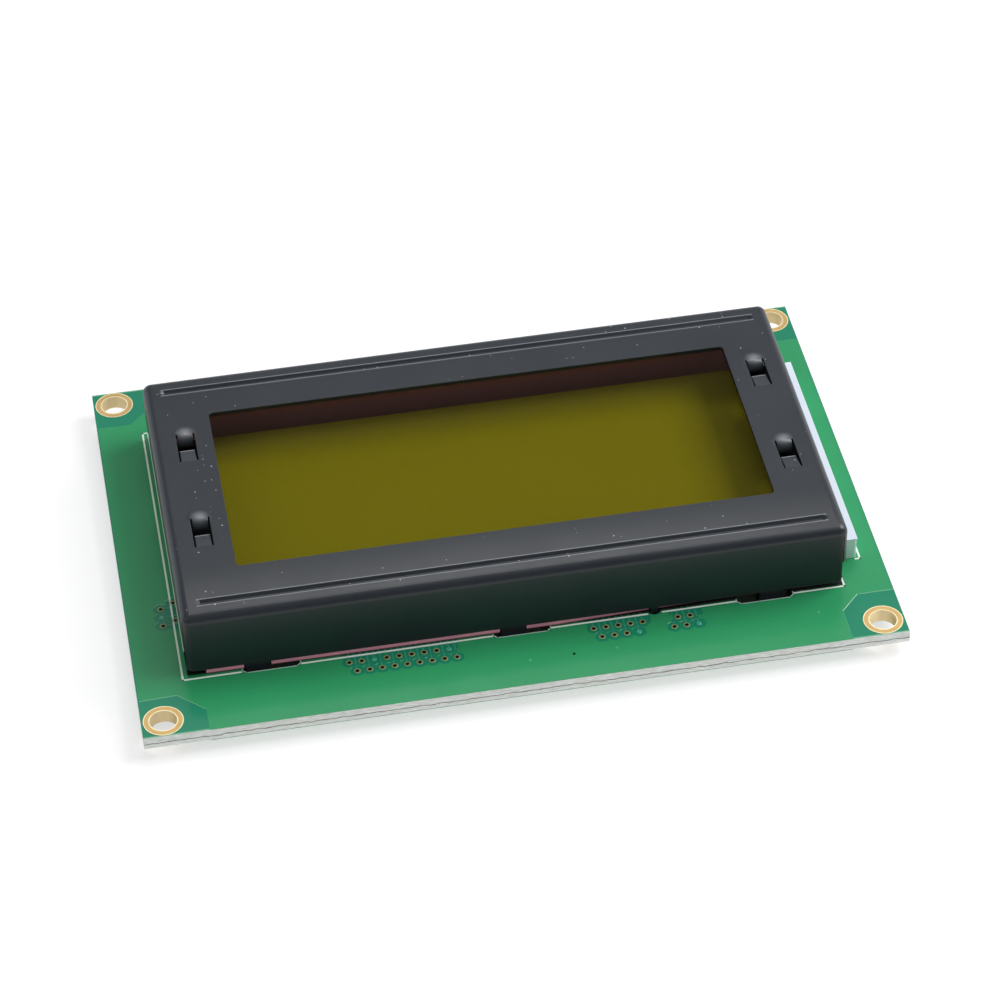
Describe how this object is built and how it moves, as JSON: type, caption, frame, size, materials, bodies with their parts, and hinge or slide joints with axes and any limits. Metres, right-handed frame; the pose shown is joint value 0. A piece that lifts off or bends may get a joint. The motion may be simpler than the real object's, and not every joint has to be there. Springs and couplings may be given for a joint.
{
  "type": "character lcd module",
  "caption": "Character display module: green circuit board with plated corner holes under a black folded steel bezel, with a liquid crystal cell in its window and a side-lit backlight.",
  "frame": {"origin": "centre of the four mounting holes, on the back face of the circuit board", "axes": "+X along the long edge, to the right of the display; +Y towards the header edge; +Z out of the display"},
  "size_m": [0.087, 0.06, 0.0118],
  "materials": {
    "board_laminate": "green solder mask on glass-epoxy laminate",
    "gold_plate": "bright gold over copper",
    "black_paint": "satin black paint on steel sheet",
    "polariser_film": "smooth tinted film",
    "cell_glass": "clear float glass",
    "seal_adhesive": "cured adhesive",
    "liquid_crystal": "clear liquid film",
    "pink_rubber": "matt silicone rubber",
    "clear_acrylic": "polished moulded acrylic",
    "white_film": "matt white film",
    "diffuser": "matt film lit yellow-green",
    "milky_moulding": "milky moulded plastic",
    "lamp_resin": "clear lamp resin",
    "tinned_wire": "bright tinned copper",
    "solder": "bright solder",
    "black_resin": "black potting resin",
    "resistor_body": "glazed black ceramic",
    "capacitor_body": "tan ceramic"
  },
  "bodies": {
    "root": {"circuit_board": "board_laminate", "mounting_ring_front_left": "gold_plate", "mounting_ring_front_right": "gold_plate", "mounting_ring_rear_left": "gold_plate", "mounting_ring_rear_right": "gold_plate", "header_pads": "gold_plate", "lcd_bezel": "black_paint", "front_polariser": "polariser_film", "front_glass": "cell_glass", "cell_seal": "seal_adhesive", "liquid_crystal": "liquid_crystal", "rear_glass": "cell_glass", "rear_polariser": "polariser_film", "fill_port_plug": "seal_adhesive", "zebra_strip_front": "pink_rubber", "zebra_strip_rear": "pink_rubber", "light_guide": "clear_acrylic", "reflector_film": "white_film", "diffuser_film": "diffuser", "led_housing": "milky_moulding", "led_cover_film": "white_film", "led_strip_board": "board_laminate", "led_chips": "lamp_resin", "anode_pin": "tinned_wire", "cathode_pin": "tinned_wire", "pin_solder_joints": "solder", "controller_blob": "black_resin", "driver_blob_left": "black_resin", "driver_blob_right": "black_resin", "chip_resistors": "resistor_body", "chip_capacitors": "capacitor_body", "power_resistor": "resistor_body", "chip_end_caps": "solder"}
  },
  "joints": []
}
